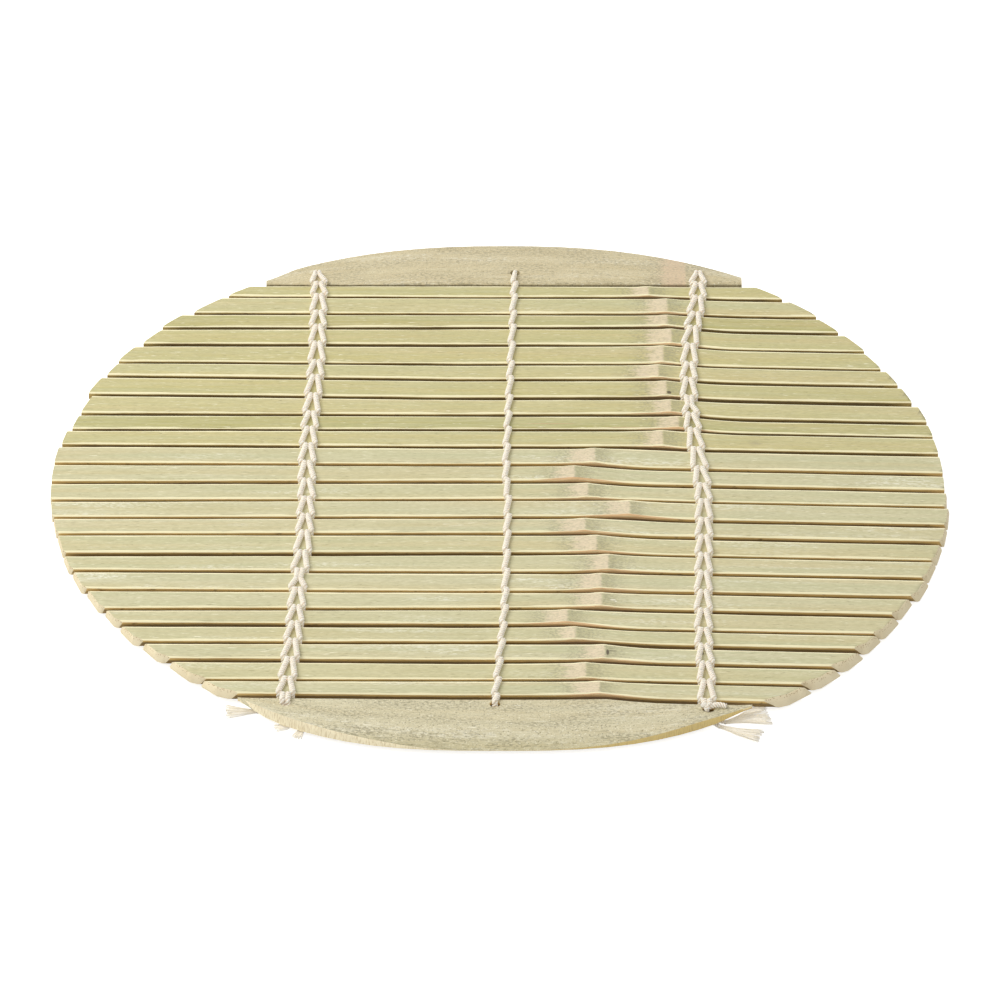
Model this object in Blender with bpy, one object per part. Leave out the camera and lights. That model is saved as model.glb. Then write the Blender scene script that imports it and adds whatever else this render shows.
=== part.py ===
"""Round bamboo steamer mat: twenty-four split bamboo slats and two segment-shaped end slats,
laced together by five twined cotton strings in three rows.

The mat lies flat. X runs along the slats, +Y points to the far end slat and +Z is up. The
origin is under the middle of the mat's outline, level with the lowest strings. The pieces are
drawn around the centre that the mat was cut from, and an empty moves them to the origin.
Blender units are metres.
"""

import math

import bmesh
import bpy
from mathutils import Vector

MM = 0.001

# The mat. It was cut round, and its near half lies a little stretched.
RADIUS = 120 * MM
NEAR_STRETCH = 1.03
NEAR_REACH = 116.3 * MM
SLAT_COUNT = 24
SLAT_GAP = 1.4 * MM
FAR_GAP = 1.0 * MM
NEAR_GAP = 2.1 * MM

# Slat section: a flat underside, square sides with eased corners and a slightly domed skin.
SLAT_THICKNESS = 2.4 * MM
LOWER_EDGE = 0.25 * MM
SIDE_EDGE = 0.5 * MM
SKIN_EDGE = 0.45 * MM
SKIN_DOME = 0.12 * MM

# End slats: wide segments of a cane, sawn to flat arcs that fall off faster and faster. The near
# one's skin rolls down to its outer edge, and the saw slanted on its left.
ARC_HALF_CHORD = 60 * MM
FAR_ARC_DROP = 12.9 * MM
FAR_ARC_POWER = 2.4
FAR_ARC_MIDDLE_X = 1.5 * MM
NEAR_ARC_DROP = 14.3 * MM
NEAR_ARC_POWER = 2.9
NEAR_ARC_MIDDLE_X = -0.3 * MM
FAR_END_DEPTH = 20.1 * MM
NEAR_END_DEPTH = 19.2 * MM
NEAR_ROLL_REACH = 10.3 * MM
NEAR_ROLL_DROP = 2.2 * MM
SAW_SLANT = 0.9 * MM
SAW_SLANT_START = -12 * MM
SAW_SLANT_LENGTH = 25 * MM
FAR_TIP_WIDTH = 3.5 * MM
NEAR_TIP_WIDTH = 0.7 * MM
NEAR_TIP_THICKNESS = 0.7 * MM
NEAR_TIP_TAPER = 10 * MM
HOLE_DIAMETER = 2.8 * MM
FAR_HOLE_MARGIN = 5.4 * MM
NEAR_HOLE_MARGIN = 2.3 * MM

# Bamboo nodes: each slat bulges at its node, and beyond it runs a little nearer.
NODE_SWELL = 0.2 * MM
NODE_BUMP = 0.45 * MM
NODE_BUMP_LENGTH = 5 * MM
BUMP_STATIONS = (0, -7, -3, 3, 7)
KINK_STATIONS = 4
STATION_SPACING = 1.6 * MM
NODE_TAPER = 4
KINK_START = -2 * MM
KINK_LENGTH = 20 * MM
NEAR_END_NODE_X = 26 * MM

# Left of LEFT_BEND_X the gaps bend again, and beyond the nodes they keep sloping.
LEFT_BEND_X = -10 * MM
LEFT_BEND_LENGTH = 70 * MM
SLOPE_START = 15 * MM
RIGHT_SLOPE = 0.035
GAP_CHANGE_X = -20 * MM
GAP_CHANGE_LENGTH = 70 * MM

# From slat 1 at the far end to slat 24 at the near end, in millimetres: where the node is, how
# far the slat reaches past the round outline at its left and at its right (or stays short of it),
# and how much wider or narrower than the mean it was split.
NODE_X = (42, 47, 47, 48, 45.5, 44, 46, 47, 49, 44.5, 26, 20.5,
          24, 35, 23, 26, 29, 27, 27, 18, 20, 27.5, 22.5, 26)
LEFT_EXTRA = (0.7, 0.5, 2, 0.6, 1.2, 0.3, 0.8, -1, -1.1, -0.2, 0.2, 0,
              0, -0.2, -0.6, -0.9, -0.8, -1.4, -2.4, -3.5, -3.8, -5, -6.1, -7)
RIGHT_EXTRA = (2.4, 2, 0.6, 0.5, -0.7, -0.3, -0.4, 0.3, -0.1, -0.4, -0.5, -0.6,
               0, 0.7, 0.7, 0.4, 0.4, 0.8, -0.4, -0.1, -0.3, 0.2, 0.2, -0.2)
WIDTH_OFFSET = (-1.25, 0.55, -1.1, 0.7, 1.45, -0.3, 1, 0.2, -0.75, 0.3, 0.25, 0.05,
                0.2, 0.45, -0.2, 0.75, 0.25, 0.6, -0.4, -0.8, -0.9, -0.1, 0.05, -1)

# From gap 0 at the far end slat to gap 24 at the near end slat, in millimetres: how much wider
# than the mean the gap is at the left and at the right, how far it rises to the left end, and
# how far it steps nearer past the nodes.
GAP_LEFT = (0, -0.35, -0.15, -0.15, 0.15, -0.3, -0.05, -0.05, 0, -0.35, 0.05, -0.2, 0.1,
            -0.2, -0.3, -0.2, 0.45, 0.05, -0.15, -0.15, 0.55, 0.05, 0.5, -0.35, 0)
GAP_RIGHT = (0.5, -0.15, -0.15, 0, -0.4, -0.4, 0.05, 0.4, 0.15, -0.4, 0.1, 0.2, 0.25,
             -0.3, 0.25, 0.35, -0.3, 0.05, 0.2, 0.3, -0.3, 0.6, 0.2, -0.15, 0)
GAP_RISE = (0, 0.6, 0.4, -0.2, 0.3, 0.9, 1.4, 1.3, 0.5, 0.2, 0.7, 0.4, -0.1,
            -0.2, 0, 0, -0.2, 0.6, 0.7, -0.1, 0.5, 0.2, 0.7, 0.4, 1)
GAP_STEP = (0, 0.9, 1.1, 2.1, 2.2, 1.3, 1.6, 1.3, 2.1, 1.6, 1.3, 1.8, 1.5,
            0.9, 1.3, 1.4, 0.8, 0.4, 0.3, 0.9, 1.7, 1.6, 1.1, 0.7, 1.6)

# Cotton string, pressed a little flat. In a gap or a hole it is squeezed.
STRING_WIDTH = 1.2 * MM
STRING_THICKNESS = 1.0 * MM
GAP_STRING_WIDTH = 1.0 * MM
GAP_STRING_THICKNESS = 0.9 * MM
HOLE_STRING_WIDTH = 0.85 * MM
HOLE_STRING_THICKNESS = 0.7 * MM
STRING_CLEARANCE = 0.3 * MM
GAP_CLEARANCE = 0.25 * MM
STRING_BEND = 0.55 * MM
HOLE_SIDE_STEP = 0.55 * MM
HOLE_PULL = 0.35 * MM
LAST_DIVE_RUN = 0.6 * MM
LEAST_MITRE = 0.7
LEAST_SELF_GAP = 0.4 * MM
SAMPLE_STEP = 0.4 * MM

# Lacing rows: (Y, X) points that each row's middle line runs through, far end to near end.
LEFT_ROW = ((106, -51), (66, -50.2), (26, -51.7), (-17, -52.8), (-93, -53.8), (-100, -54.8))
MIDDLE_ROW = ((106, 4.6), (61, 3.4), (12, 2), (-35, 1.7), (-71, 0.3), (-100, -1))
RIGHT_ROW = ((106, 56), (66, 52.3), (38, 52.2), (16, 53.8), (-7, 55.1), (-93, 53.4), (-102, 53.2))

# In a double row each string rises on its inner line and dives on its outer line, in mirror
# image. The middle row has one string, which leans one way all along.
INNER_LINE = 0.85 * MM
OUTER_LINE = 2.4 * MM
MIDDLE_LINE = 0.75 * MM
WAIST_LINE = 0.76 * MM
LEFT_WAIST_SLAT = 18
RIGHT_WAIST_SLAT = 8

# Knots under the near end slat, pressed flat, and one small knot on top at the right.
KNOT_LENGTH = 5.8 * MM
KNOT_WIDTH = 3.6 * MM
KNOT_HEIGHT = 1.0 * MM
TOP_KNOT_LENGTH = 3.4 * MM
TOP_KNOT_WIDTH = 2.9 * MM
TOP_KNOT_HEIGHT = 1.3 * MM
STUB_LENGTH = 4.4 * MM
TAIL_THICKNESS = 0.8 * MM
TAIL_FLAT = 0.6

Z_UNDERSIDE = STRING_THICKNESS + STRING_CLEARANCE
Z_TOP = Z_UNDERSIDE + SLAT_THICKNESS
Z_UPPER_STRING = Z_TOP + STRING_CLEARANCE + STRING_THICKNESS / 2
Z_LOWER_STRING = STRING_THICKNESS / 2
Z_HINGE = Z_UNDERSIDE + SLAT_THICKNESS / 2

FAR_EDGE_Y = RADIUS - FAR_END_DEPTH
NEAR_EDGE_Y = NEAR_END_DEPTH - NEAR_REACH
GAPS = [FAR_GAP] + [SLAT_GAP] * (SLAT_COUNT - 1) + [NEAR_GAP]
GAPS = [gap + GAP_LEFT[k % len(GAP_LEFT)] * MM for k, gap in enumerate(GAPS)]
MEAN_WIDTH = (FAR_EDGE_Y - NEAR_EDGE_Y - sum(GAPS)) / SLAT_COUNT


def smoothstep(t):
    t = min(max(t, 0.0), 1.0)
    return t * t * (3 - 2 * t)


def node_strength(index):
    """The slats by the far end slat have weaker nodes."""
    return min(1.0, (index + 1) / (NODE_TAPER + 1))


def node_x(index):
    if index > SLAT_COUNT:
        return NEAR_END_NODE_X
    return NODE_X[(index - 1) % len(NODE_X)] * MM


def node_bump(index, x):
    """How far a piece's edges swing out at its node."""
    return node_strength(index) * NODE_BUMP * math.exp(-(((x - node_x(index)) / NODE_BUMP_LENGTH) ** 2))


def slat_width(index):
    return MEAN_WIDTH + WIDTH_OFFSET[(index - 1) % len(WIDTH_OFFSET)] * MM


def gap_middle(gap):
    """Y of the middle of a gap, in the mat's middle."""
    y = FAR_EDGE_Y - GAPS[0] / 2
    for k in range(1, gap + 1):
        y -= GAPS[k - 1] / 2 + slat_width(k) + GAPS[k] / 2
    return y


def kink_start(gap):
    """X where a gap starts to step nearer, by the nodes of its two slats."""
    return (node_x(gap) + node_x(gap + 1)) / 2 + KINK_START


def gap_line(gap, x):
    """(near Y, far Y) of a gap at x, before the slats' nodes bulge into it."""
    change = (GAP_RIGHT[gap % len(GAP_RIGHT)] - GAP_LEFT[gap % len(GAP_LEFT)]) * MM
    half = (GAPS[gap] + change * smoothstep((x - GAP_CHANGE_X) / GAP_CHANGE_LENGTH)) / 2
    if gap == 0:
        return FAR_EDGE_Y - 2 * half, FAR_EDGE_Y
    y = gap_middle(gap)
    y += GAP_RISE[gap % len(GAP_RISE)] * MM * max(0.0, LEFT_BEND_X - x) / LEFT_BEND_LENGTH
    y -= GAP_STEP[gap % len(GAP_STEP)] * MM * smoothstep((x - kink_start(gap)) / KINK_LENGTH)
    y -= RIGHT_SLOPE * max(0.0, x - kink_start(gap) - SLOPE_START)
    return y - half, y + half


def slat_edges(index, x):
    """(near Y, far Y) of piece index at x. Piece 0 and the last piece are the end slats."""
    if index == 0:
        return gap_line(0, x)[1], outline_y(x, True)
    bump = node_bump(index, x)
    far = gap_line(index - 1, x)[0] + bump
    if index == SLAT_COUNT + 1:
        return outline_y(x, False), far
    return gap_line(index, x)[1] + bump, far


def outline_y(x, far_side):
    """Y of an end slat's sawn arc at x."""
    if far_side:
        return RADIUS - FAR_ARC_DROP * (abs(x - FAR_ARC_MIDDLE_X) / ARC_HALF_CHORD) ** FAR_ARC_POWER
    return NEAR_ARC_DROP * (abs(x - NEAR_ARC_MIDDLE_X) / ARC_HALF_CHORD) ** NEAR_ARC_POWER - NEAR_REACH


def outline_x(y):
    """Half the width of the mat at y."""
    if y < 0:
        y = y / NEAR_STRETCH
    return math.sqrt(max(RADIUS ** 2 - y ** 2, 0.0))


def gap_at(gap, x):
    """(middle Y, width) of a gap at x. Gap k lies between piece k and piece k + 1."""
    far = slat_edges(gap, x)[0]
    near = slat_edges(gap + 1, x)[1]
    return (far + near) / 2, far - near


def hinge_y(gap):
    """Y of the fold line of a gap: the mean of its middle at both ends of the slats."""
    reach = outline_x(slat_edges(gap, 0)[0]) / 2
    return (gap_at(gap, -reach)[0] + gap_at(gap, reach)[0]) / 2


def material(name, colour, roughness):
    mat = bpy.data.materials.new(name)
    mat.use_nodes = True
    shader = mat.node_tree.nodes["Principled BSDF"]
    shader.inputs["Base Color"].default_value = (*colour, 1)
    shader.inputs["Roughness"].default_value = roughness
    shader.inputs["Metallic"].default_value = 0
    return mat


def add_object(name, mesh, mat, parent, origin=Vector((0, 0, 0))):
    """Links a mesh that was drawn around the mat's centre, with its own origin moved to origin."""
    for vertex in mesh.vertices:
        vertex.co -= origin
    mesh.materials.append(mat)
    obj = bpy.data.objects.new(name, mesh)
    bpy.context.collection.objects.link(obj)
    obj.parent = parent
    obj.location = origin - Vector(parent.get("drawn_at", (0, 0, 0)))
    obj["drawn_at"] = origin
    return obj


def loft(name, rings, smooth=False):
    """A closed skin through rings of equally many points."""
    bm = bmesh.new()
    rows = [[bm.verts.new(point) for point in ring] for ring in rings]
    count = len(rows[0])
    for a, b in zip(rows, rows[1:]):
        for i in range(count):
            j = (i + 1) % count
            bm.faces.new((a[i], a[j], b[j], b[i]))
    bm.faces.new(rows[0])
    bm.faces.new(list(reversed(rows[-1])))
    bmesh.ops.recalc_face_normals(bm, faces=bm.faces)
    mesh = bpy.data.meshes.new(name)
    bm.to_mesh(mesh)
    bm.free()
    if smooth:
        mesh.shade_smooth()
        mesh.set_sharp_from_angle(angle=math.radians(50))
    return mesh


def slat_ring(x, near, far, swell=0.0):
    """Section of a slat. x is a number, or a function of Y where the slat is cut askew."""
    middle = (near + far) / 2
    half = (far - near) / 2
    top = SLAT_THICKNESS + swell
    low = min(LOWER_EDGE, half / 3)
    skin = min(SKIN_EDGE, half / 2)
    profile = (
        (low - half, 0), (half - low, 0), (half, LOWER_EDGE), (half, top - SIDE_EDGE),
        (half - skin, top - SKIN_DOME), (half / 2, top), (-half / 2, top),
        (skin - half, top - SKIN_DOME), (-half, top - SIDE_EDGE), (-half, LOWER_EDGE),
    )
    ring = []
    for dy, z in profile:
        y = middle + dy
        ring.append(Vector((x(y) if callable(x) else x, y, Z_UNDERSIDE + z)))
    return ring


def slat_end(index, side):
    """(near Y, far Y, half width of the mat) at a slat's left or right end."""
    near, far = slat_edges(index, side * outline_x(slat_edges(index, 0)[1]))
    return near, far, min(outline_x(near), outline_x(far))


def slat_stations(index, first, last):
    """X of the sections between a slat's ends: round its node and where its two edges bend."""
    wanted = [node_x(index) + step * MM for step in BUMP_STATIONS] + [LEFT_BEND_X]
    for gap in (index - 1, index):
        wanted += [kink_start(gap) + KINK_LENGTH * i / KINK_STATIONS for i in range(KINK_STATIONS + 1)]
    kept = [first, last]
    for x in wanted:
        if first < x < last and min(abs(x - other) for other in kept) > STATION_SPACING:
            kept.append(x)
    return sorted(kept)


def slat_mesh(index):
    """A split bamboo slat, cut to the outline at both ends."""
    left_extra = LEFT_EXTRA[(index - 1) % len(LEFT_EXTRA)] * MM
    right_extra = RIGHT_EXTRA[(index - 1) % len(RIGHT_EXTRA)] * MM
    left_near, left_far, left_reach = slat_end(index, -1)
    right_near, right_far, right_reach = slat_end(index, 1)
    first = SLAT_THICKNESS - left_reach - left_extra
    last = right_reach + right_extra - SLAT_THICKNESS
    rings = [slat_ring(lambda y: -outline_x(y) - left_extra, left_near, left_far)]
    for x in slat_stations(index, first, last):
        swell = NODE_SWELL if x == node_x(index) else 0.0
        rings.append(slat_ring(x, *slat_edges(index, x), swell))
    rings.append(slat_ring(lambda y: outline_x(y) + right_extra, right_near, right_far))
    return loft(f"slat_{index:02d}", rings)


def tip_x(index, side, tip_width):
    """X where an end slat's tip is cut blunt, tip_width deep."""
    inside, outside = 0.0, RADIUS
    for _ in range(40):
        x = (inside + outside) / 2
        near, far = slat_edges(index, side * x)
        if far - near > tip_width:
            inside = x
        else:
            outside = x
    return side * inside


def rolled_ring(x, near, far, from_tip):
    """Section of the near end slat: the skin rolls down to the sawn rim, and the underside rises
    to a thin point at each tip."""
    slant = SAW_SLANT * smoothstep((SAW_SLANT_START - x) / SAW_SLANT_LENGTH)
    slant = min(slant, (far - near) / 3)
    floor = (SLAT_THICKNESS - NEAR_TIP_THICKNESS) * (1 - smoothstep(from_tip / NEAR_TIP_TAPER))
    low = min(LOWER_EDGE, (far - near) / 3)
    side = min(SIDE_EDGE, (SLAT_THICKNESS - floor) / 3)
    profile = [(near, floor), (far - low, floor), (far, floor + low), (far, SLAT_THICKNESS - side)]
    crown = far - min(SKIN_EDGE, (far - near) / 4)
    steps = 7
    for i in range(steps):
        y = crown + (near + slant - crown) * i / (steps - 1)
        rolled = min(max((NEAR_ROLL_REACH - NEAR_REACH - y) / NEAR_ROLL_REACH, 0.0), 1.0)
        profile.append((y, SLAT_THICKNESS - NEAR_ROLL_DROP * rolled ** 2))
    return [Vector((x, y, Z_UNDERSIDE + z)) for y, z in profile]


def end_slat_mesh(name, index, tip_width, section, segments=26):
    """A segment of cane between the fold line and the sawn arc."""
    left = tip_x(index, -1, tip_width)
    right = tip_x(index, 1, tip_width)
    rings = []
    for i in range(segments + 1):
        turn = math.pi * i / segments
        x = (left + right) / 2 - (right - left) / 2 * math.cos(turn)
        near, far = slat_edges(index, x)
        rings.append(section(x, near, far, min(x - left, right - x)))
    return loft(name, rings)


def drill(obj, centres, mat_empty):
    """Bores the string holes through an end slat."""
    for number, (x, y) in enumerate(centres):
        bm = bmesh.new()
        bmesh.ops.create_cone(
            bm, cap_ends=True, segments=16, radius1=HOLE_DIAMETER / 2,
            radius2=HOLE_DIAMETER / 2, depth=3 * SLAT_THICKNESS,
        )
        mesh = bpy.data.meshes.new(f"{obj.name}_drill_{number}")
        bm.to_mesh(mesh)
        bm.free()
        cutter = bpy.data.objects.new(mesh.name, mesh)
        bpy.context.collection.objects.link(cutter)
        cutter.parent = mat_empty
        cutter.location = (x, y, Z_HINGE)
        cutter.hide_render = True
        cutter.display_type = "WIRE"
        cut = obj.modifiers.new(mesh.name, "BOOLEAN")
        cut.operation = "DIFFERENCE"
        cut.object = cutter


def row_x(row, y):
    """X of a lacing row's middle line at y."""
    points = [(a * MM, b * MM) for a, b in row]
    if y >= points[0][0]:
        return points[0][1]
    for (y0, x0), (y1, x1) in zip(points, points[1:]):
        if y >= y1:
            return x0 + (x1 - x0) * (y0 - y) / (y0 - y1)
    return points[-1][1]


def far_hole(row):
    y = FAR_EDGE_Y + FAR_HOLE_MARGIN
    return row_x(row, y), y


def near_hole(row):
    x = row_x(row, NEAR_EDGE_Y)
    y = slat_edges(SLAT_COUNT + 1, x)[1] - NEAR_HOLE_MARGIN
    return row_x(row, y), y


def crossing(x, y, thickness, width, rising):
    """Stations of a string passing a gap, a hole or an edge, on its way to the near end."""
    first, last = (Z_LOWER_STRING, Z_UPPER_STRING) if rising else (Z_UPPER_STRING, Z_LOWER_STRING)
    up = 1 if rising else -1
    return [
        (Vector((x, y + STRING_BEND, first)), STRING_WIDTH, STRING_THICKNESS),
        (Vector((x, y, first + up * STRING_BEND)), width, thickness),
        (Vector((x, y, last - up * STRING_BEND)), width, thickness),
        (Vector((x, y - STRING_BEND, last)), STRING_WIDTH, STRING_THICKNESS),
    ]


def strand(row, rise_line, dive_line, first_dive, waist_slat, waist_line):
    """Stations of half a string from the first gap to the last one, far end to near end.

    It dives and rises in turn, gap by gap. A strand whose first_dive is 0 starts on top.
    """
    stations = []
    for gap in range(SLAT_COUNT + 1):
        dives = (gap - first_dive) % 2 == 0
        y, width = gap_at(gap, row_x(row, hinge_y(gap)))
        x = row_x(row, y) + (dive_line if dives else rise_line)
        y, width = gap_at(gap, x)
        thickness = min(GAP_STRING_THICKNESS, width - 2 * GAP_CLEARANCE)
        stations += crossing(x, y, thickness, GAP_STRING_WIDTH, not dives)
        if not dives and gap + 1 == waist_slat:
            near, far = slat_edges(waist_slat, x)
            middle = (near + far) / 2
            point = Vector((row_x(row, middle) + waist_line, middle, Z_UPPER_STRING))
            stations.append((point, STRING_WIDTH, STRING_THICKNESS))
    return stations


def string_stations(row, rise_line, dive_line, side, waist_slat=0, waist_line=0.0, tied_on_top=False):
    """A whole string: it starts at the knot, laces the row as one strand, turns back through the
    hole in the far end slat and laces the row again as the other strand."""
    over = strand(row, rise_line, dive_line, 0, waist_slat, waist_line)
    under = strand(row, rise_line, dive_line, 1, waist_slat, waist_line)
    hole_x, hole_y = far_hole(row)
    turn_x = hole_x + side * HOLE_SIDE_STEP
    turn = crossing(turn_x, hole_y - HOLE_PULL, HOLE_STRING_THICKNESS, HOLE_STRING_WIDTH, False)
    turn[0] = (turn[0][0] - Vector((0, 2 * STRING_BEND, 0)), HOLE_STRING_WIDTH, STRING_THICKNESS)
    turn[3] = (turn[3][0], HOLE_STRING_WIDTH, STRING_THICKNESS)
    # the strand that starts on top dives last, and its end lies beside the knot
    knot_x, knot_y = near_hole(row)
    end = over[-1][0].copy()
    end.y = max(end.y - LAST_DIVE_RUN, knot_y + KNOT_WIDTH / 2 + STRING_CLEARANCE)
    over.append((end, STRING_WIDTH, STRING_THICKNESS))
    # the other strand runs over the near end slat's margin to its hole
    if tied_on_top:
        stop = Vector((knot_x + side * HOLE_SIDE_STEP, knot_y + TOP_KNOT_WIDTH / 2, Z_UPPER_STRING))
        stop.y += STRING_CLEARANCE
        under.append((stop, HOLE_STRING_WIDTH, STRING_THICKNESS))
    else:
        down = crossing(knot_x + side * HOLE_SIDE_STEP, knot_y + HOLE_PULL,
                        HOLE_STRING_THICKNESS, HOLE_STRING_WIDTH, False)
        down[0] = (down[0][0], HOLE_STRING_WIDTH, STRING_THICKNESS)
        down[2][0].z = KNOT_HEIGHT + STRING_CLEARANCE
        under += down[:3]
    return list(reversed(over)) + turn + under


def string_mesh(name, stations):
    """A flattened string as a skin through its stations, mitred at each bend."""
    points = [station[0] for station in stations]
    rings = []
    for i, (point, width, thickness) in enumerate(stations):
        before = (point - points[i - 1]).normalized() if i else None
        after = (points[i + 1] - point).normalized() if i + 1 < len(points) else None
        along = ((before or after) + (after or before)).normalized()
        bend = along.dot(after or before)
        across = Vector((1, 0, 0))
        across = (across - along * across.dot(along)).normalized()
        out = along.cross(across)
        half_width = across * width / 2
        half_thickness = out * thickness / 2 / max(bend, LEAST_MITRE)
        rings.append([
            point + half_width + half_thickness, point - half_width + half_thickness,
            point - half_width - half_thickness, point + half_width - half_thickness,
        ])
    print_self_gap(name, stations)
    return loft(name, rings)


def print_self_gap(name, stations):
    """Measures the least gap between parts of a string that aren't neighbours on it."""
    samples = []
    travelled = 0.0
    for (a, wide_a, thick_a), (b, wide_b, thick_b) in zip(stations, stations[1:]):
        count = max(2, int((b - a).length / SAMPLE_STEP))
        for i in range(count):
            t = i / count
            samples.append((a.lerp(b, t), travelled + t * (b - a).length,
                            wide_a + (wide_b - wide_a) * t))
        travelled += (b - a).length
    samples.sort(key=lambda sample: sample[0].y)
    least = RADIUS
    reach = STRING_WIDTH + 2 * LEAST_SELF_GAP
    for i, (p, at_p, wide_p) in enumerate(samples):
        for q, at_q, wide_q in samples[i + 1:]:
            if q.y - p.y > reach:
                break
            if abs(at_p - at_q) > 3 * STRING_WIDTH:
                least = min(least, (p - q).length - (wide_p + wide_q) / 2)
    verdict = "clear" if least > LEAST_SELF_GAP else "too close"
    print(f"{name}: least gap to itself {least / MM:.2f} mm, {verdict}")


def lump_mesh(name, centre, length, width, height):
    """A knot pressed flat: a ball with its top and underside levelled."""
    bm = bmesh.new()
    bmesh.ops.create_uvsphere(bm, u_segments=14, v_segments=8, radius=1.0)
    for vertex in bm.verts:
        level = max(-1.0, min(1.0, 1.5 * vertex.co.z))
        vertex.co = Vector((
            centre.x + vertex.co.x * length / 2,
            centre.y + vertex.co.y * width / 2,
            centre.z + level * height / 2,
        ))
    mesh = bpy.data.meshes.new(name)
    bm.to_mesh(mesh)
    bm.free()
    return mesh


def tail_mesh(name, points, widths, thickness):
    """A cut string end that lies flat and fans out where it frays."""
    rings = []
    for i, (x, y, z) in enumerate(points):
        ahead = Vector(points[min(i + 1, len(points) - 1)])
        behind = Vector(points[max(i - 1, 0)])
        along = (ahead - behind).normalized()
        across = along.cross(Vector((0, 0, 1))).normalized()
        out = across.cross(along)
        half_width = across * widths[i] / 2
        flat = half_width * TAIL_FLAT
        half_thickness = out * thickness / 2
        point = Vector((x, y, z))
        rings.append([
            point + flat + half_thickness, point + half_width, point + flat - half_thickness,
            point - flat - half_thickness, point - half_width, point - flat + half_thickness,
        ])
    return loft(name, rings)


def fuse(obj, mesh):
    """Joins another closed shape to an object as one body."""
    for vertex in mesh.vertices:
        vertex.co -= Vector(obj["drawn_at"])
    tool = bpy.data.objects.new(mesh.name, mesh)
    bpy.context.collection.objects.link(tool)
    tool.parent = obj
    tool.hide_render = True
    tool.display_type = "WIRE"
    union = obj.modifiers.new(mesh.name, "BOOLEAN")
    union.operation = "UNION"
    union.object = tool


def add_knot(name, row, tails, mat, parent):
    """The knot under the near end slat's hole, with its cut ends."""
    x, y = near_hole(row)
    lump = lump_mesh(name, Vector((x, y, KNOT_HEIGHT / 2)), KNOT_LENGTH, KNOT_WIDTH, KNOT_HEIGHT)
    knot = add_object(name, lump, mat, parent, Vector((x, y, 0)))
    for number, (route, widths) in enumerate(tails, 1):
        points = [(x + dx * MM, y + dy * MM, TAIL_THICKNESS / 2 + lift * MM) for dx, dy, lift in route]
        widths = [width * MM for width in widths]
        fuse(knot, tail_mesh(f"{name}_tail_{number}", points, widths, TAIL_THICKNESS))
    return knot


def add_top_knot(name, row, mat, parent):
    """The small knot that plugs the right-hand near hole, with a short stub beside it."""
    x, y = near_hole(row)
    z = Z_TOP + STRING_CLEARANCE + TOP_KNOT_HEIGHT / 2
    ball = lump_mesh(name, Vector((x, y, z)), TOP_KNOT_LENGTH, TOP_KNOT_WIDTH, TOP_KNOT_HEIGHT)
    knot = add_object(name, ball, mat, parent, Vector((x, y, Z_TOP)))
    start = x + TOP_KNOT_LENGTH / 4
    rise = TOP_KNOT_WIDTH / 4
    route = [(start, y, z), (start + STUB_LENGTH / 2, y + rise, z), (start + STUB_LENGTH, y + rise / 2, z)]
    stub_widths = [STRING_WIDTH, STRING_WIDTH, GAP_STRING_WIDTH]
    fuse(knot, tail_mesh(f"{name}_stub", route, stub_widths, TAIL_THICKNESS))
    neck_width = HOLE_DIAMETER - 4 * GAP_CLEARANCE
    bm = bmesh.new()
    bmesh.ops.create_cone(
        bm, cap_ends=True, segments=8, radius1=neck_width / 2, radius2=neck_width / 2,
        depth=z - KNOT_HEIGHT - STRING_CLEARANCE,
    )
    bmesh.ops.translate(bm, verts=bm.verts, vec=(x, y, (z + KNOT_HEIGHT + STRING_CLEARANCE) / 2))
    neck = bpy.data.meshes.new(f"{name}_neck")
    bm.to_mesh(neck)
    bm.free()
    fuse(knot, neck)
    return knot


# Cut ends beside the knots: route from the knot's middle as (X, Y, lift), then the widths.
LEFT_TAILS = (
    (((-1, 0.4, 0.1), (-7.2, 1.2, 0.1), (-11, 1.4, 0.3), (-14.6, 1.6, 0.5)), (1.1, 1.3, 2.2, 3.8)),
    (((1, -0.6, 0), (2.7, -4.4, 0), (0.4, -6.4, 0), (-2.6, -6.9, 0)), (1.1, 1.1, 1.5, 2.6)),
    (((2, -0.4, 0), (4.6, -5.4, 0), (4.2, -8.4, 0), (3.2, -10.8, 0)), (1.1, 1.1, 1.5, 3)),
)
RIGHT_TAILS = (
    (((1, 0.2, 0), (5, -1.4, 0.1), (10.5, 0.2, 0.2), (15.6, 1.2, 0.5)), (1.1, 1.4, 2.6, 4.6)),
    (((1, -0.6, 0), (3.4, -3.2, 0), (8.6, -5.4, 0), (13.8, -7.4, 0.1)), (1.1, 1.3, 2.2, 3.6)),
)


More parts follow.
